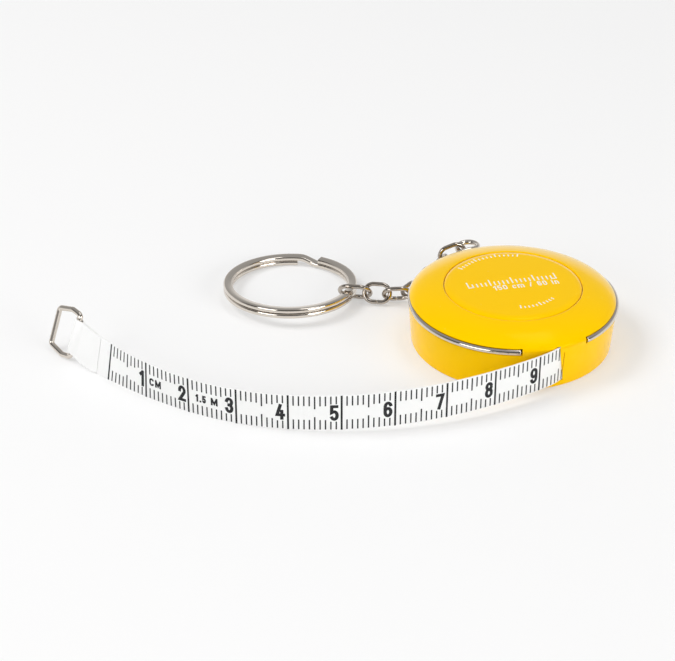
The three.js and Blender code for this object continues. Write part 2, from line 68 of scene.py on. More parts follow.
mm = 0.001
degree = math.pi / 180
full_turn = 2 * math.pi
upwards = Vector((0, 0, 1))
sharp_edge = 40 * degree
on_axis = mm / 1000
wire_sides = 20

# Camera, as worked out from the tape's centimetre lines
camera_azimuth = -20 * degree
camera_elevation = 31 * degree
camera_distance = 405 * mm
camera_target = Vector((-31.81 * mm, 14.35 * mm, 0))
camera_sensor = 36
camera_lens = 106.67
camera_clip = (10 * mm, 20000 * mm)

# Case
rim_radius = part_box("lower_case")[1].x
wall_taper = 0.7 * mm
foot_radius = rim_radius - wall_taper
foot_fillet = 0.5 * mm
wall = 1.1 * mm
floor_thickness = 1.2 * mm
inner_radius = foot_radius - wall
seam_height = 9 * mm
seam_gap = 0.03 * mm
dome_edge_height = 12.1 * mm
hole_radius = 13.74 * mm
hole_rounding = 0.25 * mm
dome_steep_share = (0.01, 0.45)
dome_flat_share = (0.48, 0.86)
dome_steps = 48
foot_steps = 14
case_sides = 240
post_radius = 2 * mm
post_top = 8.6 * mm

# Push button
button_radius = 13.64 * mm
button_bottom = 11.05 * mm
button_edge_top = 12.35 * mm
button_edge = (1.9 * mm, 0.6 * mm)
button_crown = 0.2 * mm
button_edge_sweep = 88
button_steps = 20
stem_inner = 2.4 * mm
stem_radius = 3.2 * mm
stem_bottom = 8.15 * mm

# Button spring
spring_wire = 0.32 * mm
spring_radius = 1.75 * mm
spring_turns = 4.5
spring_turn_steps = 24
spring_sides = 12
spring_bottom = 8.8 * mm
spring_top = 10.85 * mm

# Wire bail
bail_wire = 1.1 * mm
bail_sunk = 0.2 * mm
bail_run = rim_radius - bail_sunk
bail_half_gap = 19.7
# Steps along each arm and round the eye, for the wire and for its groove
bail_steps = (150, 96)
groove_steps = (90, 48)
slot_end_inset = 0.33 * mm
bail_ease_bearing = 72
bail_groove_play = 0.14 * mm
bail_tuck = 0.28 * mm
bail_tuck_bearings = (-8, 12)
bail_end_gap = 0.3 * mm
eye_radius = 2.1 * mm
eye_crossing_gap = 0.1 * mm

# Tape
tape_width = 7.65 * mm
tape_thickness = 0.3 * mm
tape_bottom = 1.6 * mm
tape_out = 95.3 * mm
tape_blank_end = 10.9 * mm
tape_free = tape_out + tape_blank_end
tape_hidden = 13 * mm
tape_edge_rounding = 0.06 * mm
tape_edge_steps = 3
tape_step = 0.5 * mm
fold_length = 7.5 * mm
fold_gap = 0.02 * mm
fold_bar_play = 0.05 * mm
fold_throat_share = 2.2
fold_throat_steps = 8
fold_bend_steps = 18
fold_trim = 0.36 * mm
fold_trim_length = 3 * mm
fold_thin_length = 1.2 * mm
fold_thin_share = 0.25
mouth_radius = rim_radius - wall_taper / 2
mouth_bearing = -87.8
mouth_play = 0.2 * mm
mouth_front_play = 0.09 * mm
mouth_line = (0.16 * mm, 0.5 * mm)
mouth_line_bearing = -85.2
bend_shares = (0.16, 0.44, 0.72)
band_shares = (0.301, 0.58)
# The free tape's heading on the table at shares of its length, after its heading in the mouth
course_shares = (0, 0.028, 0.076, 0.144, 0.332, 0.521, 0.709, 0.898, 1)
course_headings = (196, 190, 186.3, 169.7, 152.1, 131.5, 118.9, 117.2)
course_steps = 428
past_end_share = 1.2
floor_contact_share = 0.7
tip_rise_share = 0.916
tip_lean = 23.2 * degree
tip_lift = 0.996 * mm

# Marks printed on the tape, each with its length and width
ink_proud = 0.012 * mm
ink_sunk = 0.006 * mm
ink_edge_margin = 0.18 * mm
millimetre_mark = (2.3 * mm, 0.27 * mm)
short_mark = (1.9 * mm, 0.27 * mm)
five_millimetre_mark = (2.95 * mm, 0.28 * mm)
centimetre_line = 0.38 * mm
number_height = 3.45 * mm
number_gap = 0.53 * mm
word_height = 1.65 * mm
number_stroke_share = 0.185
word_stroke_share = 0.23
button_stroke_share = 0.15
letter_gap_share = 0.16
inch = 25.4 * mm
front_words = (("CM", 10.85 * mm), ("1.5 M", 21.6 * mm))
# Between these millimetres, words take the place of the longer marks
front_words_stretch = (10, 30)
# The last millimetres before each centimetre, where the marks are short to make room for the number
short_marks = (8, 9)

# Marks printed on the button. Of two marks, the first is the taller one at every fifth tick
print_bearing = -7
print_lift = (-0.008 * mm, 0.018 * mm)
print_line = 0.28 * mm
print_tick = 0.9 * mm
ruler_half = 9 * mm
ruler_marks = (2.3 * mm, 1.4 * mm)
ruler_text_low = -2.05 * mm
ruler_text_height = 1.7 * mm
arc_marks = (1.1 * mm, 0.7 * mm)
# Each arc's radius and half its length
upper_arc = (11.3 * mm, 6.6 * mm)
upper_arc_bearing = 95
lower_arc = (9.7 * mm, 3.9 * mm)
lower_arc_bearing = -82

# Chain and key ring
link_wire = 0.9 * mm
small_links = 6
small_link = (6.2 * mm, 4.6 * mm)
long_link = (7.3 * mm, 5.5 * mm)
link_butt_gap = 0.05 * mm
link_bend_steps = 24
ring_outer = 13.9 * mm
ring_width = 1.9 * mm
ring_turn_height = 0.98 * mm
ring_turn_gap = 0.08 * mm
ring_bulge = 0.3 * mm
ring_end_gap = 2
ring_bar_bearing = -33
ring_high_bearing = -110
ring_step_bearing = 63
ring_ramp_angle = 18
ring_lift = 1.3 * mm
ring_steps = 360
ring_side_steps = 12

# Pull loop
loop_wire = 1.1 * mm
loop_depth = 6 * mm
loop_bar = 8.7 * mm
loop_corner = 0.8 * mm
loop_butt_gap = 0.12 * mm
loop_shares = ((0, 1), (0.4, 1.08), (1, 0.87))

# Table and light
table_reach = 3000 * mm
table_grain = 30
table_colours = ((0.925, 0.925, 0.925, 1), (0.935, 0.935, 0.935, 1))
table_roughness = 0.75
table_glow_share = 0.4
table_glow = (0.96, 0.957, 0.955, 1)
sky_strength = 0.63
sky_turn = (-0.3, 0.4)
sky_over_camera = ((0, 0.6), (0.2, 0.36), (0.4, 0.1), (0.7, 0.12), (0.84, 0.66))
sky_behind = ((0, 1.5), (0.2, 1.4), (0.36, 0.66), (0.64, 0.6), (0.82, 0.6))
lamp_distance = 1100 * mm
# Each lamp's azimuth, elevation, width, height and watts
lamps = {
    "window_left": (248, 52, 500 * mm, 450 * mm, 5.7),
    "panel_above": (85, 74, 800 * mm, 300 * mm, 1.7),
    "panel_right": (28, 18, 600 * mm, 400 * mm, 5.8),
    "panel_left": (-61, 24, 600 * mm, 400 * mm, 3.0),
}
unmirrored_lamps = ("window_left",)


# Shapes

def smooth(part):
    """Eases from 0 to 1."""
    clipped = min(max(part, 0), 1)
    return (1 - math.cos(math.pi * clipped)) / 2


def bearing_point(radius, bearing, height=0.0):
    """The point at a bearing in degrees about the upright axis."""
    return Vector((radius * math.cos(bearing * degree), radius * math.sin(bearing * degree), height))


def new_piece(name, vertices, faces, material):
    """A mesh object with its faces pointing out."""
    mesh = bpy.data.meshes.new(name)
    mesh.from_pydata([tuple(v) for v in vertices], [], faces)
    work = bmesh.new()
    work.from_mesh(mesh)
    bmesh.ops.recalc_face_normals(work, faces=work.faces)
    work.to_mesh(mesh)
    work.free()
    mesh.materials.append(material)
    piece = bpy.data.objects.new(name, mesh)
    bpy.context.scene.collection.objects.link(piece)
    shade(piece)
    return piece


def shade(piece):
    """Makes a piece smooth, but for its sharp edges."""
    for face in piece.data.polygons:
        face.use_smooth = True
    piece.data.set_sharp_from_angle(angle=sharp_edge)


def ride_and_replace(piece, body, slot, *nodes):
    """Lets a piece ride on a body and stand for nodes of the frame. The slot is not used."""
    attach(piece, body)
    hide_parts(*nodes)


def turned(name, profile, sides, material):
    """Turns a closed profile of (radius, height) points about the upright axis."""
    vertices, rings, faces = [], [], []
    for radius, height in profile:
        if radius < on_axis:
            rings.append([len(vertices)] * sides)
            vertices.append((0, 0, height))
            continue
        rings.append([len(vertices) + k for k in range(sides)])
        vertices += [bearing_point(radius, 360 * k / sides, height) for k in range(sides)]
    closed = rings[0][0] != rings[0][1]
    pairs = list(zip(rings, rings[1:])) + ([(rings[-1], rings[0])] if closed else [])
    for low, high in pairs:
        for k in range(sides):
            following = (k + 1) % sides
            face = list(dict.fromkeys([low[k], low[following], high[following], high[k]]))
            if len(face) > 2:
                faces.append(face)
    return new_piece(name, vertices, faces, material)


def arc(centre, radius, start, end, steps):
    """Points of (radius, height) round an arc, in degrees."""
    angles = [(start + (end - start) * k / steps) * degree for k in range(steps + 1)]
    return [(centre[0] + radius * math.cos(a), centre[1] + radius * math.sin(a)) for a in angles]


def rounded_corner(before, corner, after, radius, steps=6):
    """Replaces a corner of a flat outline by an arc that touches both of its sides."""
    corner = Vector(corner)
    back = (Vector(before) - corner).normalized()
    ahead = (Vector(after) - corner).normalized()
    half = back.angle(ahead) / 2
    centre = corner + (back + ahead).normalized() * (radius / math.sin(half))
    start = corner + back * (radius / math.tan(half)) - centre
    end = corner + ahead * (radius / math.tan(half)) - centre
    sweep = start.angle(end)
    points = []
    for k in range(steps + 1):
        share = k / steps
        first = math.sin((1 - share) * sweep) / math.sin(sweep)
        second = math.sin(share * sweep) / math.sin(sweep)
        points.append(centre + start * first + end * second)
    return points


def round_section(radius, sides=wire_sides):
    """A round wire's section."""
    angles = [full_turn * (k + 1 / 2) / sides for k in range(sides)]
    return [(radius * math.cos(a), radius * math.sin(a)) for a in angles]


def tube_faces(count, sides):
    """The faces that join a row of sections, with both ends closed."""
    faces = []
    for i in range(count - 1):
        here, there = i * sides, (i + 1) * sides
        for k in range(sides):
            following = (k + 1) % sides
            faces.append([here + k, here + following, there + following, there + k])
    faces.append(list(range(sides))[::-1])
    faces.append([(count - 1) * sides + k for k in range(sides)])
    return faces


def swept(route, section, scales=None, up=None):
    """Carries a section along a route and closes its ends. The section turns as little as it can."""
    vertices = []
    for i, point in enumerate(route):
        tangent = (route[min(i + 1, len(route) - 1)] - route[max(i - 1, 0)]).normalized()
        if up is None:
            up = tangent.orthogonal()
        side = tangent.cross(up).normalized()
        up = side.cross(tangent).normalized()
        scale = scales[i] if scales else 1
        vertices += [point + side * (x * scale) + up * (y * scale) for x, y in section]
    return vertices, tube_faces(len(route), len(section))


# How far along its rounding a wire's cut end has come, and its thickness there
cut_end_shares = ((0, 0.78), (0.12, 0.9), (0.45, 0.975), (1, 1))


def wire_with_cut_ends(name, route, radius, material, sides=wire_sides):
    """A round wire whose cut ends have a small rounding."""
    rounding = radius / 4
    start = (route[1] - route[0]).normalized()
    end = (route[-1] - route[-2]).normalized()
    inner = [p for p in route[1:-1]
             if (p - route[0]).length > rounding * 2 and (p - route[-1]).length > rounding * 2]
    points = [route[0] + start * rounding * along for along, _ in cut_end_shares] + inner
    points += [route[-1] - end * rounding * along for along, _ in reversed(cut_end_shares)]
    end_scales = [scale for _, scale in cut_end_shares]
    scales = end_scales + [1] * len(inner) + end_scales[::-1]
    return new_piece(name, *swept(points, round_section(radius, sides), scales), material)


def cut(piece, cutter):
    """Cuts one closed mesh out of another for good, and removes the cutter."""
    modifier = piece.modifiers.new("cut", "BOOLEAN")
    modifier.operation = "DIFFERENCE"
    modifier.solver = "EXACT"
    modifier.object = cutter
    graph = bpy.context.evaluated_depsgraph_get()
    mesh = bpy.data.meshes.new_from_object(piece.evaluated_get(graph))
    piece.modifiers.clear()
    piece.data = mesh
    bpy.data.objects.remove(cutter)
    shade(piece)


box_faces = [[0, 1, 2, 3], [4, 5, 6, 7], [0, 1, 5, 4], [1, 2, 6, 5], [2, 3, 7, 6], [3, 0, 4, 7]]


def box_corners(x, y, z):
    """A box's corners from its two ends in each direction: four round its bottom, four round its top."""
    around = ((x[0], y[0]), (x[1], y[0]), (x[1], y[1]), (x[0], y[1]))
    return [(across, along, up) for up in z for across, along in around]


def block(name, size, place, turn_about_up):
    """A plain box that only serves as a cutter. What it cuts is as yellow as the case."""
    turning = Matrix.Translation(place) @ Matrix.Rotation(turn_about_up, 4, "Z")
    corners = box_corners(*[(-length / 2, length / 2) for length in size])
    return new_piece(name, [turning @ Vector(corner) for corner in corners], box_faces, case_yellow)


# Finishes

def node(tree, kind, inputs=None, **settings):
    """Adds a node. An input is a value, or the socket that feeds it."""
    made = tree.nodes.new(kind)
    for name, value in settings.items():
        setattr(made, name, value)
    for name, value in (inputs or {}).items():
        if isinstance(value, bpy.types.NodeSocket):
            tree.links.new(value, made.inputs[name])
        else:
            made.inputs[name].default_value = value
    return made


def maths(tree, operation, *values, **settings):
    """One step of arithmetic on numbers and sockets."""
    return node(tree, "ShaderNodeMath", dict(enumerate(values)), operation=operation, **settings).outputs[0]


def ranged(tree, value, start, end, low=0, high=1, **settings):
    """Goes from low to high while the value goes from start to end, and stays level outside."""
    inputs = {"Value": value, "From Min": start, "From Max": end, "To Min": low, "To Max": high}
    return node(tree, "ShaderNodeMapRange", inputs, **settings).outputs["Result"]


def own_place(tree):
    """Where a point lies in its own piece."""
    return node(tree, "ShaderNodeTexCoord").outputs["Object"]


def noise(tree, place, scale, detail):
    inputs = {"Vector": place, "Scale": scale, "Detail": detail}
    return node(tree, "ShaderNodeTexNoise", inputs).outputs["Fac"]


def mixed(tree, share, first, second):
    """A colour that goes from the first to the second with the share."""
    return node(tree, "ShaderNodeMix", {0: share, 6: first, 7: second}, data_type="RGBA").outputs[2]


def new_group(name, inputs, output):
    """A shader node group with number inputs and one number output."""
    tree = bpy.data.node_groups.new(name, "ShaderNodeTree")
    for label, value in inputs.items():
        socket = tree.interface.new_socket(name=label, in_out="INPUT", socket_type="NodeSocketFloat")
        socket.default_value = value
    tree.interface.new_socket(name=output, in_out="OUTPUT", socket_type="NodeSocketFloat")
    given, result = tree.nodes.new("NodeGroupInput"), tree.nodes.new("NodeGroupOutput")
    return tree, given.outputs, result.inputs[output]


def fine_grain_group():
    """Soft unevenness with finer grain in it."""
    tree, given, height = new_group("Fine grain", {"Scale": 400, "Fineness": 6}, "Height")
    place = own_place(tree)
    broad = noise(tree, place, given["Scale"], 2)
    grain = noise(tree, place, maths(tree, "MULTIPLY", given["Scale"], given["Fineness"]), 3)
    tree.links.new(maths(tree, "MULTIPLY", maths(tree, "ADD", broad, grain), 0.5), height)
    return tree


def hair_scratch_group():
    """Thin straight scratches in two directions."""
    tree, given, mask = new_group("Hair scratches", {"Scale": 90, "Amount": 0.5}, "Mask")
    lines = []
    for angle, stretch in ((35, 26), (-58, 34)):
        spun = node(tree, "ShaderNodeMapping", {"Vector": own_place(tree), "Scale": (1, stretch, 1),
                                                "Rotation": (0.2, 0.3, angle * degree)})
        lines.append(ranged(tree, noise(tree, spun.outputs[0], given["Scale"], 2), 0.64, 0.72))
    tree.links.new(maths(tree, "MULTIPLY", maths(tree, "MAXIMUM", *lines), given["Amount"]), mask)
    return tree


def edge_wear_group():
    """The edges that stand out and are rubbed in use, broken up by noise."""
    tree, given, mask = new_group("Edge wear", {"Scale": 700, "Amount": 0.5}, "Mask")
    edges = ranged(tree, node(tree, "ShaderNodeNewGeometry").outputs["Pointiness"], 0.53, 0.62)
    broken = ranged(tree, noise(tree, own_place(tree), given["Scale"], 4), 0.4, 0.62)
    tree.links.new(maths(tree, "MULTIPLY", maths(tree, "MULTIPLY", edges, broken), given["Amount"]), mask)
    return tree


def speck_group():
    """Sparse small specks, as dust leaves."""
    tree, given, mask = new_group("Specks", {"Scale": 1400, "Amount": 0.5}, "Mask")
    place = own_place(tree)
    cells = node(tree, "ShaderNodeTexVoronoi", {"Vector": place, "Scale": given["Scale"]})
    dots = ranged(tree, cells.outputs["Distance"], 0.16, 0.08)
    sparse = ranged(tree, noise(tree, place, given["Scale"], 1), 0.62, 0.68)
    tree.links.new(maths(tree, "MULTIPLY", maths(tree, "MULTIPLY", dots, sparse), given["Amount"]), mask)
    return tree


fine_grain = fine_grain_group()
hair_scratches = hair_scratch_group()
edge_wear = edge_wear_group()
specks = speck_group()
dust_colour = (0.72, 0.7, 0.66, 1)


def use_group(tree, group, **values):
    """Places one of the groups above in a material and returns its output."""
    placed = tree.nodes.new("ShaderNodeGroup")
    placed.node_tree = group
    for name, value in values.items():
        placed.inputs[name].default_value = value
    return placed.outputs[0]


def new_material(name, colour, deeper, worn, roughness, spread, bump, grain_scale, fineness=6,
                 scratches=0.4, wear=0.4, dust=0.3, metal=0.0, **shader):
    """A finish with uneven colour, rubbed edges, hair scratches, specks and a fine bump."""
    material = bpy.data.materials.new(name)
    material.use_nodes = True
    tree = material.node_tree
    surface = tree.nodes["Principled BSDF"]
    grain = use_group(tree, fine_grain, Scale=grain_scale, Fineness=fineness)
    scratch = use_group(tree, hair_scratches, Scale=grain_scale / 4, Amount=scratches)
    edge = use_group(tree, edge_wear, Scale=grain_scale * 2, Amount=wear)
    speck = use_group(tree, specks, Scale=grain_scale * 3, Amount=dust)
    uneven = mixed(tree, grain, (*colour, 1), (*deeper, 1))
    rubbed = mixed(tree, edge, uneven, (*worn, 1))
    tree.links.new(mixed(tree, speck, rubbed, dust_colour), surface.inputs["Base Color"])
    rough = ranged(tree, grain, 0.3, 0.7, roughness - spread, roughness + spread)
    marks = maths(tree, "ADD", scratch, speck)
    marked = maths(tree, "MULTIPLY_ADD", marks, spread * 2, rough, use_clamp=True)
    tree.links.new(marked, surface.inputs["Roughness"])
    height = maths(tree, "MULTIPLY_ADD", scratch, -0.4, grain)
    relief = node(tree, "ShaderNodeBump", {"Height": height, "Strength": 1, "Distance": bump})
    tree.links.new(relief.outputs["Normal"], surface.inputs["Normal"])
    surface.inputs["Metallic"].default_value = metal
    for socket, value in shader.items():
        surface.inputs[socket.replace("_", " ")].default_value = value
    return material


case_yellow = new_material(
    "Glossy yellow plastic", colour=(0.98, 0.59, 0.0), deeper=(0.97, 0.575, 0.0), worn=(0.98, 0.64, 0.03),
    roughness=0.15, spread=0.03, bump=0.0007 * mm, grain_scale=260, scratches=0.15, dust=0.06,
    Specular_IOR_Level=0.22, Specular_Tint=(1, 0.7, 0, 1))
bright_nickel = new_material(
    "Bright nickel", colour=(0.745, 0.69, 0.62), deeper=(0.69, 0.63, 0.565), worn=(0.82, 0.77, 0.7),
    roughness=0.085, spread=0.03, bump=0.0005 * mm, grain_scale=300, scratches=0.15, dust=0.06, metal=1.0)
# The chain's nickel is darker and browner than the ring's: partly its own plating, partly painted shade for
# the dark, yellow-brown reflections the links show beside the case.
darker_nickel = new_material(
    "Darker nickel", colour=(0.54, 0.485, 0.43), deeper=(0.42, 0.37, 0.32), worn=(0.74, 0.69, 0.63),
    roughness=0.1, spread=0.04, bump=0.0015 * mm, grain_scale=700, scratches=0.35, dust=0.08, metal=1.0)
dull_steel = new_material(
    "Blued spring steel", colour=(0.4, 0.41, 0.43), deeper=(0.33, 0.34, 0.38), worn=(0.6, 0.6, 0.6),
    roughness=0.34, spread=0.08, bump=0.006 * mm, grain_scale=600, metal=1.0)
white_tape = new_material(
    "Coated glass fibre tape", colour=(0.895, 0.895, 0.89), deeper=(0.88, 0.88, 0.87),
    worn=(0.91, 0.91, 0.91), roughness=0.36, spread=0.06, bump=0.006 * mm, grain_scale=900, fineness=3,
    scratches=0.2, dust=0.05)
drum_white = new_material(
    "Ivory moulded plastic", colour=(0.78, 0.77, 0.72), deeper=(0.74, 0.72, 0.66), worn=(0.83, 0.82, 0.78),
    roughness=0.48, spread=0.08, bump=0.01 * mm, grain_scale=320)
brake_black = new_material(
    "Black rubber", colour=(0.03, 0.03, 0.032), deeper=(0.045, 0.044, 0.045), worn=(0.09, 0.09, 0.09),
    roughness=0.74, spread=0.08, bump=0.02 * mm, grain_scale=500)
tape_ink = new_material(
    "Charcoal ink", colour=(0.018, 0.018, 0.02), deeper=(0.03, 0.03, 0.033), worn=(0.05, 0.05, 0.05),
    roughness=0.45, spread=0.08, bump=0.002 * mm, grain_scale=1500, dust=0.03, Specular_IOR_Level=0.15)
case_ink = new_material(
    "White pad print", colour=(0.93, 0.92, 0.88), deeper=(0.9, 0.87, 0.78), worn=(0.95, 0.85, 0.5),
    roughness=0.4, spread=0.06, bump=0.002 * mm, grain_scale=1500, dust=0.05)


def add_pale_rim(material, pale, start, end, most):
    """Paints a pale sheen into the base colour on the top of a gloss where it is seen at a flat angle: a
    painted reflection of the pale room.
    """
    tree = material.node_tree
    colour = tree.nodes["Principled BSDF"].inputs["Base Color"]
    facing = node(tree, "ShaderNodeLayerWeight", {"Blend": 0.5}).outputs["Facing"]
    normal = node(tree, "ShaderNodeNewGeometry").outputs["Normal"]
    height = node(tree, "ShaderNodeSeparateXYZ", {"Vector": normal}).outputs["Z"]
    upper = ranged(tree, height, 0.15, 0.5)
    share = maths(tree, "MULTIPLY", ranged(tree, facing, start, end, 0, most), upper)
    tree.links.new(mixed(tree, share, colour.links[0].from_socket, (*pale, 1)), colour)


# The case's top turns pale at flat angles: a painted sheen in its colour.
add_pale_rim(case_yellow, pale=(1, 0.8, 0.4), start=0.6, end=0.9, most=0.85)


# Camera

def away_from_target(azimuth, elevation):
    """The direction from the keychain to a camera or a lamp."""
    level = math.cos(elevation)
    return Vector((math.sin(azimuth) * level, -math.cos(azimuth) * level, math.sin(elevation)))


def aim(thing, away, distance):
    """Puts a camera or a lamp at a distance from the keychain and turns it to face it."""
    thing.location = camera_target + away * distance
    thing.rotation_euler = away.to_track_quat("Z", "Y").to_euler()
    bpy.context.scene.collection.objects.link(thing)


def set_camera():
    data = bpy.data.cameras.new("camera")
    data.sensor_width = camera_sensor
    data.lens = camera_lens
    data.clip_start, data.clip_end = camera_clip
    camera = bpy.data.objects.new("camera", data)
    aim(camera, away_from_target(camera_azimuth, camera_elevation), camera_distance)
    bpy.context.scene.camera = camera


set_camera()


# The case: two shells that meet at the wire, and the button

def dome_curve(from_radius, drop):
    """The dome's outline from its rim to the button's hole, lowered by the wall for its inside."""
    rise = dome_edge_height - drop - seam_height
    across = from_radius - hole_radius
    start = Vector((from_radius, seam_height))
    steep = Vector((from_radius - across * dome_steep_share[0], seam_height + rise * dome_steep_share[1]))
    flat = Vector((from_radius - across * dome_flat_share[0], seam_height + rise * dome_flat_share[1]))
    end = Vector((hole_radius, dome_edge_height - drop))
    points = []
    for k in range(dome_steps + 1):
        t = k / dome_steps
        points.append(start * (1 - t) ** 3 + steep * 3 * t * (1 - t) ** 2 + flat * 3 * t * t * (1 - t)
                      + end * t ** 3)
    return points


def outer_outline():
    """The case's outline from the middle of its base to the button's hole."""
    foot = arc((foot_radius - foot_fillet, foot_fillet), foot_fillet, -90, 0, foot_steps)
    dome = dome_curve(rim_radius, 0)
    hole_edge = rounded_corner(dome[-4], dome[-1], (hole_radius, dome_edge_height - wall), hole_rounding)
    kept = [p for p in dome if p.x > hole_edge[0].x]
    return [(0, 0)] + [tuple(p) for p in [*foot, *kept, *hole_edge]]


def split_at_seam(outline):
    """The parts of the outline below and above the seam, each ending half a gap from it."""
    half = seam_gap / 2
    low, high = seam_height - half, seam_height + half
    below = [p for p in outline if p[1] < low]
    above = [p for p in outline if p[1] > high]
    before, after = below[-1], above[0]
    slope = (after[0] - before[0]) / (after[1] - before[1])
    below.append((before[0] + slope * (low - before[1]), low))
    above.insert(0, (before[0] + slope * (high - before[1]), high))
    return below, above


def bail_route(end_gap, arm_steps, eye_steps):
    """The wire's middle line: round the seam, with one full turn at the back as its eye."""
    half = (bail_wire + eye_crossing_gap) / 2
    start = -90 + bail_half_gap - end_gap / bail_run / degree
    first, full = bail_tuck_bearings
    points = []
    for side in (-1, 1):
        arm = []
        for i in range(arm_steps):
            bearing = start + (90 - start) * i / arm_steps
            ease = smooth((bearing - bail_ease_bearing) / (90 - bail_ease_bearing))
            tuck = bail_tuck * smooth((bearing - first) / (full - first)) * (1 - ease)
            shown = bearing if side < 0 else 180 - bearing
            arm.append(bearing_point(bail_run - tuck, shown, seam_height + side * half * ease))
        if side > 0:
            points += arm[::-1]
            continue
        points += arm
        for i in range(eye_steps + 1):
            around = bearing_point(eye_radius, -90 - 360 * i / eye_steps)
            height = seam_height - half + 2 * half * i / eye_steps
            points.append(around + Vector((0, bail_run + eye_radius, height)))
    return points


def groove_cutters():
    """The groove that the wire lies in, as two halves that meet at the eye."""
    route = bail_route(bail_end_gap, *groove_steps)
    middle = len(route) // 2
    section = round_section(bail_wire / 2 + bail_groove_play)
    halves = (route[:middle + 1], route[middle:])
    return [new_piece("groove", *swept(half, section), case_yellow) for half in halves]


def slot_end_cutters():
    """The groove's square ends, past the wire's cut ends."""
    size = bail_wire + 2 * bail_groove_play
    cutters = []
    for bearing in (-90 + bail_half_gap, -90 - bail_half_gap):
        place = bearing_point(bail_run, bearing, seam_height) + bearing_point(slot_end_inset, bearing)
        cutters.append(block("slot_end", (size * 2, 2 * bail_end_gap, size), place, bearing * degree))
    return cutters


def mouth_cutter():
    """The slot that the tape comes out of, closer to the tape's front than to its back."""
    mouth = on_tape(0, (mouth_front_play - mouth_play) / 2, tape_width / 2)
    size = (2 * tape_hidden, tape_thickness + mouth_front_play + mouth_play, tape_width + 2 * mouth_play)
    return block("mouth", size, mouth, exit_heading * degree)


def mouth_line_cutter():
    """The fine upright parting line beside the slot."""
    width, depth = mouth_line
    place = bearing_point(mouth_radius, mouth_line_bearing, tape_bottom + tape_width / 2)
    return block("mouth_line", (depth, width, tape_width), place, mouth_line_bearing * degree)


def make_case():
    """The lower and the upper shell, with the wire's groove, the tape's slot and its line cut out."""
    below, above = split_at_seam(outer_outline())
    inside_low = [(rim_radius - wall, below[-1][1]), (inner_radius, floor_thickness),
                  (post_radius, floor_thickness), (post_radius, post_top), (0, post_top)]
    lower = turned("lower_shell", below + inside_low, case_sides, case_yellow)
    inside_high = [tuple(p) for p in dome_curve(rim_radius - wall, wall)]
    inside_high[0] = (inside_high[0][0], above[0][1])
    upper = turned("upper_shell", above + inside_high[::-1], case_sides, case_yellow)
    for shell in (lower, upper):
        for cutter in [*groove_cutters(), *slot_end_cutters(), mouth_cutter(), mouth_line_cutter()]:
            cut(shell, cutter)
    return lower, upper


def button_height(radius):
    """The height of the button's crowned top at a radius."""
    return button_edge_top + button_crown * (1 - (radius / (button_radius - button_edge[0])) ** 2)


def make_button():
    wide, high = button_edge
    inner = button_radius - wide
    rounding = arc((0, 0), 1, 0, button_edge_sweep, button_steps)
    edge = [(inner + wide * x, button_edge_top - high + high * y) for x, y in rounding]
    radii = [inner * (1 - k / button_steps) for k in range(1, button_steps + 1)]
    top = [(radius, button_height(radius)) for radius in radii]
    profile = [(0, button_bottom), (stem_inner, button_bottom), (stem_inner, stem_bottom),
               (stem_radius, stem_bottom), (stem_radius, button_bottom), (button_radius, button_bottom)]
    return turned("push_button", profile + edge + top, case_sides, case_yellow)


def make_button_spring():
    """The coil spring under the button."""
    steps = round(spring_turns * spring_turn_steps)
    low = spring_bottom + spring_wire / 2
    high = spring_top - spring_wire / 2
    route = [bearing_point(spring_radius, 360 * k / spring_turn_steps, low + (high - low) * k / steps)
             for k in range(steps + 1)]
    spring = wire_with_cut_ends("coil_spring", route, spring_wire / 2, dull_steel, spring_sides)
    ride_and_replace(spring, "case", "spring_steel", "button_spring")
    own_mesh(spring)


# The tape

exit_direction = joints["tape_pull"]["axis"]
exit_heading = math.degrees(math.atan2(exit_direction[1], exit_direction[0])) % 360


def tape_heading(distance):
    """The tape's heading in degrees at a distance from its mouth."""
    share = min(max(distance / tape_free, 0), 1)
    return float(np.interp(share, course_shares, (exit_heading, *course_headings)))


def course_points():
    """The line that the tape's middle plane follows on the table, from its mouth to its end."""
    points = [bearing_point(mouth_radius, mouth_bearing)]
    step = tape_free / course_steps
    for i in range(course_steps):
        heading = tape_heading(step * (i + 1 / 2)) * degree
        points.append(points[i] + Vector((math.cos(heading), math.sin(heading), 0)) * step)
    return points


course = course_points()


def tape_station(distance):
    """The tape's bottom edge, its way on, the way its front faces and the way it rises."""
    heading = tape_heading(distance) * degree
    ahead = Vector((math.cos(heading), math.sin(heading), 0))
    if distance <= 0:
        point = course[0] + ahead * distance
    elif distance >= tape_free:
        point = course[-1] + ahead * (distance - tape_free)
    else:
        place = distance / tape_free * course_steps
        before = min(int(place), course_steps - 1)
        point = course[before].lerp(course[before + 1], place - before)
    share = min(max(distance / tape_free, 0), past_end_share)
    fall = tape_bottom * (1 - smooth(share / floor_contact_share))
    climb = tip_lift * smooth((share - tip_rise_share) / (2 * (1 - tip_rise_share))) * 2
    lean = tip_lean * smooth((share - floor_contact_share) / (2 * (1 - floor_contact_share))) * 2
    right = Vector((math.sin(heading), -math.cos(heading), 0))
    rise = upwards * math.cos(lean) + right * math.sin(lean)
    front = upwards * math.sin(lean) - right * math.cos(lean)
    return Vector((point.x, point.y, fall + climb)), ahead, front, rise


def on_tape(distance, out, height):
    """The point at a distance along the tape, out from its middle plane, and up from its lower edge."""
    point, _, front, rise = tape_station(distance)
    return point + front * out + rise * height


def band_section():
    """The tape's section as (out, height) points, with rounded edges."""
    half, soft = tape_thickness / 2, tape_edge_rounding
    corners = [((half, 0), 0), ((half, tape_width), 90), ((-half, tape_width), 180), ((-half, 0), 270)]
    section = []
    for (out, height), start in corners:
        centre = (out - math.copysign(soft, out), height + (soft if height == 0 else -soft))
        section += arc(centre, soft, start - 90, start, tape_edge_steps)
    return section


def band_edges(distance):
    """How high up the tape its middle lies, and the share of its width that is kept beside the loop."""
    trimmed = smooth((distance - tape_free) / fold_trim_length + 1)
    _, _, bar_height = loop_bar_place()
    middle = tape_width / 2 + (bar_height - tape_width / 2) * trimmed
    return middle, 1 - 2 * fold_trim / tape_width * trimmed


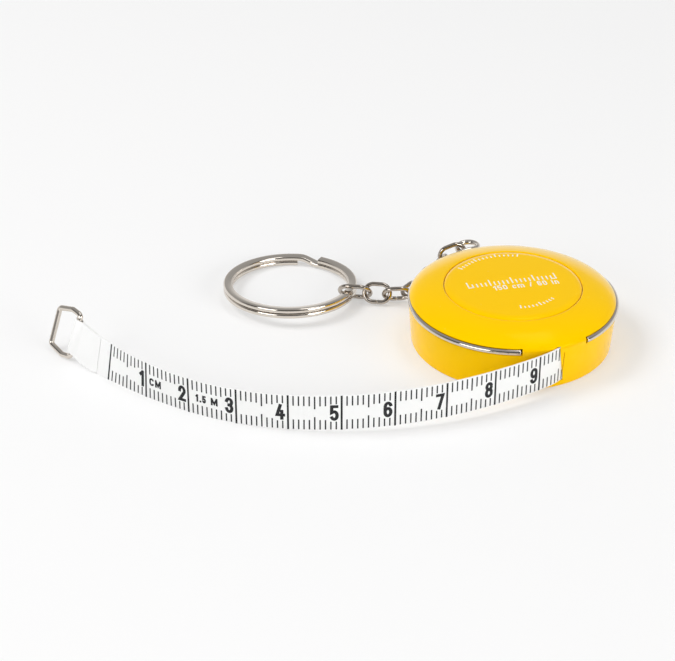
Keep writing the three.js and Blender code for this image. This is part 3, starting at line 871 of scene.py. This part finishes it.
def band_thickness(point, end):
    """The share of its thickness that the tape has at a point. The fold's cut end is pressed thin."""
    if point[1] <= tape_thickness / 2:
        return 1
    from_end = min((Vector(point) - Vector(end)).length / fold_thin_length, 1)
    return fold_thin_share + (1 - fold_thin_share) * 2 * smooth(from_end / 2)


def band(name, path):
    """A strip of tape on edge along a path of (distance, out) points."""
    section = band_section()
    last = len(path) - 1
    vertices = []
    for i, (distance, out) in enumerate(path):
        ahead = (Vector(path[min(i + 1, last)]) - Vector(path[max(i - 1, 0)])).normalized()
        middle, width_share = band_edges(distance)
        thickness_share = band_thickness(path[i], path[last])
        sunk = (1 - thickness_share) * tape_thickness / 2
        for x, height in section:
            across = x * thickness_share + sunk
            up = middle + (height - tape_width / 2) * width_share
            vertices.append(on_tape(distance - ahead.y * across, out + ahead.x * across, up))
    return new_piece(name, vertices, tube_faces(len(path), len(section)), white_tape)


def straight_path(start, end):
    """Points of (distance, out) along the tape's middle plane."""
    count = max(2, round((end - start) / tape_step))
    return [(start + (end - start) * k / count, 0.0) for k in range(count + 1)]


def loop_bar_place():
    """The middle of the pull loop's bar: past the tape's end, out of its middle plane, up its width."""
    point, ahead, front, rise = tape_station(tape_free)
    hinge = Vector(joints["loop_swing"]["pos_m"]) - point
    return hinge.dot(ahead), hinge.dot(front), hinge.dot(rise)


def folded_path(start):
    """The tape's last stretch: behind the loop's bar, round it, and back along its own front."""
    past_end, out, _ = loop_bar_place()
    bar = tape_free + past_end
    beside = (tape_thickness + fold_gap) / 2
    round_bar = loop_wire / 2 + fold_bar_play + tape_thickness / 2
    throat = fold_throat_share * round_bar
    widening = []
    for k in range(1, fold_throat_steps):
        share = k / fold_throat_steps
        widening.append((bar - throat * (1 - share), beside + (round_bar - beside) * smooth(share)))
    behind = straight_path(start, bar - throat)
    behind += [(distance, out - apart) for distance, apart in widening]
    front = [(distance, out + apart) for distance, apart in reversed(widening)]
    laid_back = straight_path(tape_free - fold_length, bar - throat)
    front += [(distance, out + beside) for distance, _ in reversed(laid_back)]
    return behind + arc((bar, out), round_bar, -90, 90, fold_bend_steps) + front


def blended(piece):
    """Fixes a stretch of tape, or what is printed on it, in place as it lies."""
    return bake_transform(piece)


# What is printed on the tape

def bow(x, y, wide, high, start, end, steps=18):
    """Points round part of an oval, in degrees."""
    angles = [(start + (end - start) * k / steps) * degree for k in range(steps + 1)]
    return [(x + wide * math.cos(a), y + high * math.sin(a)) for a in angles]


# Each letter's width as a share of its height, and its strokes in a box that is 1 wide and 1 high
letter_strokes = {
    "0": (0.49, [bow(0.5, 0.72, 0.5, 0.28, 0, 180) + bow(0.5, 0.28, 0.5, 0.28, 180, 360) + [(1, 0.72)]]),
    "1": (0.36, [[(1, 0), (1, 1)], [(0.1, 0.8), (0.9, 0.98)]]),
    "2": (0.49, [bow(0.5, 0.72, 0.5, 0.28, 180, -20) + [(0, 0), (1, 0)]]),
    "3": (0.49, [bow(0.5, 0.76, 0.48, 0.24, 165, -90), bow(0.5, 0.26, 0.5, 0.26, 90, -165)]),
    "4": (0.53, [[(0.5, 1), (0, 0.26), (1, 0.26)], [(0.74, 0), (0.74, 0.55)]]),
    "5": (0.49, [[(0.92, 1), (0.06, 1), (0.04, 0.52)] + bow(0.5, 0.3, 0.5, 0.3, 115, -145)]),
    "6": (0.49, [bow(0.5, 0.72, 0.5, 0.28, 25, 180) + bow(0.5, 0.29, 0.5, 0.29, 180, 500)]),
    "7": (0.49, [[(0, 1), (1, 1), (0.34, 0)]]),
    "8": (0.49, [bow(0.5, 0.77, 0.46, 0.23, 0, 360), bow(0.5, 0.27, 0.5, 0.27, 0, 360)]),
    "9": (0.49, [bow(0.5, 0.28, 0.5, 0.28, 205, 360) + bow(0.5, 0.71, 0.5, 0.29, 0, 320)]),
    "C": (0.7, [bow(0.5, 0.68, 0.5, 0.32, 35, 180) + bow(0.5, 0.32, 0.5, 0.32, 180, 325)]),
    "M": (0.86, [[(0, 0), (0, 1)], [(0.06, 0.94), (0.5, 0.16), (0.94, 0.94)], [(1, 0), (1, 1)]]),
    "c": (0.46, [bow(0.5, 0.42, 0.5, 0.28, 35, 180) + bow(0.5, 0.28, 0.5, 0.28, 180, 325)]),
    "m": (0.8, [[(0, 0), (0, 0.7)], bow(0.25, 0.5, 0.25, 0.2, 180, 0) + [(0.5, 0)],
                bow(0.75, 0.5, 0.25, 0.2, 180, 0) + [(1, 0)]]),
    "n": (0.46, [[(0, 0), (0, 0.7)], bow(0.5, 0.45, 0.5, 0.25, 180, 0) + [(1, 0)]]),
    "i": (number_stroke_share, [[(0, 0), (0, 0.7)], [(0, 0.99), (0, 1)]]),
    "/": (0.4, [[(0, 0), (1, 1)]]),
    ".": (number_stroke_share, [[(0, 0), (0, 0.01)]]),
    " ": (0.3, []),
}


def stroke(path, width):
    """A closed flat stroke along a path, square at its ends: points of (right, up, 0 or 1) and faces."""
    points = [Vector(p) for p in path]
    closed = len(points) > 3 and (points[0] - points[-1]).length < width / 2
    if not closed:
        points[0] += (points[0] - points[1]).normalized() * (width / 2)
        points[-1] += (points[-1] - points[-2]).normalized() * (width / 2)
    ways = [(b - a).normalized() for a, b in zip(points, points[1:])]
    vertices = []
    for point, before, after in zip(points, [ways[0], *ways], [*ways, ways[-1]]):
        middle = (before + after).normalized()
        side = Vector((-middle.y, middle.x)) * (width / 2 / middle.dot(after))
        left, right = point + side, point - side
        vertices += [(*left, 0), (*right, 0), (*right, 1), (*left, 1)]
    return vertices, tube_faces(len(points), 4)


def lettering(text, height, stroke_share):
    """The flat closed strokes of a text, and its width."""
    width = height * stroke_share
    strokes, left = [], 0
    for letter in text:
        wide, paths = letter_strokes[letter]
        reach = (wide * height - width, height - width)
        for path in paths:
            placed = [(left + width / 2 + x * reach[0], width / 2 + y * reach[1]) for x, y in path]
            strokes.append(stroke(placed, width))
        left += (wide + letter_gap_share) * height
    return strokes, left - letter_gap_share * height


class Print:
    """Gathers marks into one mesh. Each mark is made flat and laid on a surface by a function."""

    def __init__(self, lay):
        self.lay = lay
        self.vertices = []
        self.faces = []

    def add(self, vertices, faces, right=0.0, up=0.0):
        start = len(self.vertices)
        self.vertices += [self.lay(right + x, up + y, z) for x, y, z in vertices]
        self.faces += [[start + k for k in face] for face in faces]

    def bar(self, left, right, low, high):
        """A straight mark, from left to right and from low to high."""
        self.add(box_corners((left, right), (low, high), (0, 1)), box_faces)

    def text(self, text, right, up, height, align=0.0, stroke_share=number_stroke_share):
        """Letters whose left end, middle or right end is at the place, for align 0, 0.5 or 1."""
        strokes, width = lettering(text, height, stroke_share)
        for vertices, faces in strokes:
            self.add(vertices, faces, right - width * align, up)

    def piece(self, name, material):
        return new_piece(name, self.vertices, self.faces, material)


def front_place(right, up, lift):
    """Lays a mark on the front. It reads from the tape's end, where right is 0, towards the case."""
    out = tape_thickness / 2 - ink_sunk + (ink_sunk + ink_proud) * lift
    return on_tape(tape_out - right, out, up)


def back_place(right, up, lift):
    """Lays a mark on the back, with the tape turned over along its length."""
    out = -tape_thickness / 2 + ink_sunk - (ink_sunk + ink_proud) * lift
    return on_tape(tape_out - right, out, tape_width - up)


def both_edges(marks, place, size):
    """The same short mark at both edges of the tape."""
    length, width = size
    marks.bar(place - width / 2, place + width / 2, ink_edge_margin, length)
    marks.bar(place - width / 2, place + width / 2, tape_width - length, tape_width - ink_edge_margin)


def line_across(marks, place):
    half = centimetre_line / 2
    marks.bar(place - half, place + half, tape_edge_rounding, tape_width - tape_edge_rounding)


def number_beside(marks, number, place):
    """A number that ends just before its line."""
    low = (tape_width - number_height) / 2
    marks.text(str(number), place - number_gap, low, number_height, align=1)


def front_marks(name, start, end):
    """The centimetre side between two distances from the tape's zero line."""
    marks = Print(front_place)
    first, last = front_words_stretch
    for step in range(math.ceil(start / mm), math.ceil(end / mm)):
        place = step * mm
        if step % 10 == 0:
            line_across(marks, place)
            if step:
                number_beside(marks, step // 10, place)
        elif step % 5 == 0 and not first < step < last:
            both_edges(marks, place, five_millimetre_mark)
        elif step % 10 in short_marks:
            both_edges(marks, place, short_mark)
        else:
            both_edges(marks, place, millimetre_mark)
    low = (tape_width - word_height) / 2
    for words, place in front_words:
        if start <= place < end:
            marks.text(words, place, low, word_height, stroke_share=word_stroke_share)
    return marks.piece(name, tape_ink)


def back_marks(name, start, end):
    """The inch side between two distances from the tape's zero line."""
    marks = Print(back_place)
    eighth = inch / 8
    for step in range(math.ceil(start / eighth), math.ceil(end / eighth)):
        place = step * eighth
        if step % 8 == 0:
            line_across(marks, place)
            if step:
                number_beside(marks, step // 8, place)
        else:
            both_edges(marks, place, five_millimetre_mark if step % 4 == 0 else millimetre_mark)
    return marks.piece(name, tape_ink)


def make_tape():
    """Three stretches of tape, with what is printed on them."""
    first_end, second_end = (share * tape_free for share in band_shares)
    stretches = [
        ("1", "tape_root", "tape_span_1", straight_path(-tape_hidden, first_end), bend_shares[0],
         (tape_out - first_end, tape_out + tape_hidden), ("tape_root",)),
        ("2", "tape_span_1", "tape_span_2", straight_path(first_end, second_end), bend_shares[1],
         (tape_out - second_end, tape_out - first_end), ("tape_span_1",)),
        ("3", "tape_span_2", "tape_tip", folded_path(second_end), bend_shares[2],
         (0, tape_out - second_end), ("tape_span_2", "tape_tip")),
    ]
    for number, first, second, path, bend, marked, stands_for in stretches:
        strip = band("tape_band_" + number, path)
        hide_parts(*stands_for)
        front = front_marks("front_marks_" + number, *marked)
        back = back_marks("back_marks_" + number, *marked)
        for piece in (strip, front, back):
            blended(piece)


# The pull loop

def cornered_route(corners, radius, steps=10):
    """Straight runs between corners, each corner an arc of one radius."""
    points = [corners[0]]
    for before, corner, after in zip(corners, corners[1:], corners[2:]):
        points += rounded_corner(before, corner, after, radius, steps)
    return points + [corners[-1]]


def make_pull_loop():
    """The wire loop, laid out along and across the tape's end with its cut ends inside the fold."""
    half, half_gap = loop_bar / 2, loop_butt_gap / 2
    outline = [(along * loop_depth, share * half) for along, share in loop_shares]
    other_side = [(along, -across) for along, across in reversed(outline)]
    middle = Vector(joints["loop_swing"]["pos_m"])
    _, ahead, _, rise = tape_station(tape_free)
    corners = [middle + ahead * along + rise * across
               for along, across in [(0, half_gap), *outline, *other_side, (0, -half_gap)]]
    route = cornered_route(corners, loop_corner)
    return wire_with_cut_ends("loop_wire", route, loop_wire / 2, bright_nickel)


# Chain and key ring

def own_frame(name):
    """A link's long, middle and thin directions as a matrix, with its middle, from its CAD node."""
    points = np.array([tuple(v.co) for v in frame["nodes"][name].data.vertices])
    _, directions = np.linalg.eigh(np.cov(points.T))
    along, across = (Vector(directions[:, k]) for k in (2, 1))
    across = across if across.z >= 0 else -across
    normal = along.cross(across)
    axes = Matrix((along, across, normal)).transposed()
    local = points @ np.array(axes)
    middle = axes @ Vector((local.max(0) + local.min(0)) / 2)
    return Matrix.Translation(middle) @ axes.to_4x4()


def make_link(name, stands_for, size):
    """An oval link of one bent wire whose ends meet."""
    length, width = size
    bend = (width - link_wire) / 2
    straight = (length - width) / 2
    points = [Vector((link_butt_gap / 2, -bend, 0)), Vector((straight / 2, -bend, 0))]
    for side in (1, -1):
        for k in range(link_bend_steps + 1):
            around = bearing_point(bend, side * -90 + 180 * k / link_bend_steps)
            points.append(around + Vector((side * straight, 0, 0)))
    points += [Vector((-straight / 2, -bend, 0)), Vector((-link_butt_gap / 2, -bend, 0))]
    placing = own_frame(stands_for)
    link = wire_with_cut_ends(name, [placing @ p for p in points], link_wire / 2, darker_nickel)
    ride_and_replace(link, stands_for, "bright_steel", stands_for)


def split_ring_section():
    """The flattened wire's section as (across, up) points, flat above and below, with bulging sides."""
    flat, half = ring_width / 2 - ring_bulge, ring_turn_height / 2
    side = [(flat + ring_bulge * x, half * y) for x, y in arc((0, 0), 1, -90, 90, ring_side_steps)]
    return side + [(-x, -y) for x, y in side]


def make_split_ring():
    """Two turns of flat-sided wire, stepped where one turn passes over the other."""
    middle = ring_outer - ring_width / 2
    rise = ring_turn_height + ring_turn_gap
    start = ring_step_bearing + ring_end_gap / 2
    ramp = start + 360 - ring_end_gap - ring_ramp_angle
    end = ramp + 360 - ring_end_gap
    reach = ring_outer + middle * math.cos((ring_high_bearing - ring_bar_bearing) * degree)
    leaning = Matrix.Rotation(math.asin(ring_lift / reach), 3, bearing_point(1, ring_high_bearing - 90))
    bar = bearing_point(middle, ring_bar_bearing, ring_turn_height + ring_turn_gap / 2)
    centre = Vector(joints["key_ring_swing"]["pos_m"]) - leaning @ bar
    route = []
    for i in range(ring_steps + 1):
        bearing = start + (end - start) * i / ring_steps
        height = ring_turn_height / 2 + rise * smooth((bearing - ramp) / ring_ramp_angle)
        route.append(centre + leaning @ bearing_point(middle, bearing, height))
    vertices, faces = swept(route, split_ring_section(), up=leaning @ upwards)
    ring = new_piece("split_ring", vertices, faces, bright_nickel)
    ride_and_replace(ring, "key_ring", "bright_steel", "key_ring")


# What is printed on the button

def button_place(right, up, lift):
    """Lays a mark on the button's top."""
    flat = Matrix.Rotation(print_bearing * degree, 3, "Z") @ Vector((right, up, 0))
    low, high = print_lift
    return Vector((flat.x, flat.y, button_height(flat.length) + low + (high - low) * lift))


def arc_place(radius, middle_bearing, facing):
    """Lays a mark on an arc of the button's top. Its top faces out for 1, and in for -1."""
    def place(right, up, lift):
        bearing = middle_bearing - facing * right / radius / degree
        point = bearing_point(radius + facing * up, bearing)
        low, high = print_lift
        return point + upwards * (button_height(point.length) + low + (high - low) * lift)
    return place


def tick_row(marks, reach, heights):
    """Upright ticks from one end of a line to the other, with every fifth one taller."""
    count = round(2 * reach / print_tick)
    for step in range(count + 1):
        place = -reach + 2 * reach * step / count
        height = heights[0] if step % 5 == 0 else heights[1]
        marks.bar(place - print_line / 2, place + print_line / 2, 0, height)


def tick_arc(name, size, bearing, facing):
    radius, reach = size
    ticks = Print(arc_place(radius, bearing, facing))
    tick_row(ticks, reach, arc_marks)
    return ticks.piece(name, case_ink)


def make_button_print():
    """A plain ruler motif with the tape's length, and two arcs of tick marks."""
    ruler = Print(button_place)
    ruler.bar(-ruler_half, ruler_half, 0, print_line)
    tick_row(ruler, ruler_half, ruler_marks)
    ruler.text("150 cm / 60 in", ruler_half, ruler_text_low, ruler_text_height, 1, button_stroke_share)
    pieces = [ruler.piece("button_ruler", case_ink),
              tick_arc("upper_ticks", upper_arc, upper_arc_bearing, 1),
              tick_arc("lower_ticks", lower_arc, lower_arc_bearing, -1)]
    for piece in pieces:
        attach(piece, "button")


# Table and light

def make_table():
    material = bpy.data.materials.new("Pale table")
    material.use_nodes = True
    tree = material.node_tree
    surface = tree.nodes["Principled BSDF"]
    tone = mixed(tree, noise(tree, own_place(tree), table_grain, 3), *table_colours)
    tree.links.new(tone, surface.inputs["Base Color"])
    surface.inputs["Roughness"].default_value = table_roughness
    add_pale_glow(tree, surface)
    ends = (-table_reach, table_reach)
    table = new_piece("table", box_corners(ends, ends, (0,)), [[0, 1, 2, 3]], material)


def add_pale_glow(tree, surface):
    """Lets the camera and the metal see a table that is partly plain white. It keeps the shadows."""
    path = node(tree, "ShaderNodeLightPath").outputs
    seen = maths(tree, "MAXIMUM", path["Is Camera Ray"], path["Is Glossy Ray"])
    share = maths(tree, "MULTIPLY", seen, table_glow_share)
    glow = node(tree, "ShaderNodeEmission", {"Color": table_glow, "Strength": 1})
    both = node(tree, "ShaderNodeMixShader", {0: share, 1: surface.outputs[0], 2: glow.outputs[0]})
    tree.links.new(both.outputs[0], tree.nodes["Material Output"].inputs["Surface"])


def softbox(name, azimuth, elevation, width, height, power):
    """A soft panel of light that faces the keychain. Shiny pieces can be kept from showing it."""
    data = bpy.data.lights.new(name, "AREA")
    data.shape = "RECTANGLE"
    data.size, data.size_y = width, height
    data.energy = power
    lamp = bpy.data.objects.new(name, data)
    lamp.visible_glossy = name not in unmirrored_lamps
    aim(lamp, away_from_target(azimuth * degree, elevation * degree), lamp_distance)


def sky_band(tree, height, stops):
    """The room's brightness at each height above the horizon."""
    ramp = node(tree, "ShaderNodeValToRGB", {"Fac": height})
    elements = ramp.color_ramp.elements
    while len(elements) < len(stops):
        elements.new(0.5)
    for element, (position, level) in zip(elements, stops):
        element.position = position
        element.color = (level, level, level, 1)
    return ramp.outputs["Color"]


def set_world():
    """A bright top over a bright wall behind the keychain, and a darker room on the camera's side."""
    world = bpy.data.worlds.new("studio")
    bpy.context.scene.world = world
    world.use_nodes = True
    tree = world.node_tree
    place = node(tree, "ShaderNodeTexCoord").outputs["Generated"]
    height = node(tree, "ShaderNodeSeparateXYZ", {"Vector": place}).outputs["Z"]
    backwards = (-math.sin(camera_azimuth), math.cos(camera_azimuth), 0)
    behind = node(tree, "ShaderNodeVectorMath", {0: place, 1: backwards}, operation="DOT_PRODUCT")
    share = ranged(tree, behind.outputs["Value"], *sky_turn, interpolation_type="SMOOTHSTEP")
    front, back = sky_band(tree, height, sky_over_camera), sky_band(tree, height, sky_behind)
    background = tree.nodes["Background"]
    tree.links.new(mixed(tree, share, front, back), background.inputs["Color"])
    background.inputs["Strength"].default_value = sky_strength


def light_the_studio():
    set_world()
    for name, lamp in lamps.items():
        softbox(name, *lamp)
    bpy.context.scene.view_settings.view_transform = "Standard"


# Putting it together

lower_shell, upper_shell = make_case()
ride_and_replace(lower_shell, "case", "case_plastic", "lower_case")
ride_and_replace(upper_shell, "case", "case_plastic", "upper_case")
ride_and_replace(make_button(), "button", "case_plastic", "release_button")
bail = wire_with_cut_ends("bail_wire", bail_route(0, *bail_steps), bail_wire / 2, bright_nickel)
ride_and_replace(bail, "case", "bright_steel", "wire_bail")
make_button_spring()
make_button_print()
make_tape()
ride_and_replace(make_pull_loop(), "pull_loop", "bright_steel", "pull_loop")
for index in range(1, small_links + 1):
    make_link(f"small_link_{index}", f"chain_link_{index}", small_link)
make_link("long_link", "ring_link", long_link)
make_split_ring()

inner_finishes = {
    "tape_drum": drum_white,
    "drum_cover": drum_white,
    "mainspring": dull_steel,
    "wound_tape": white_tape,
    "brake_disc": brake_black,
}
for inner_name, finish in inner_finishes.items():
    for material_slot in frame["nodes"][inner_name].material_slots:
        material_slot.material = finish

make_table()
light_the_studio()
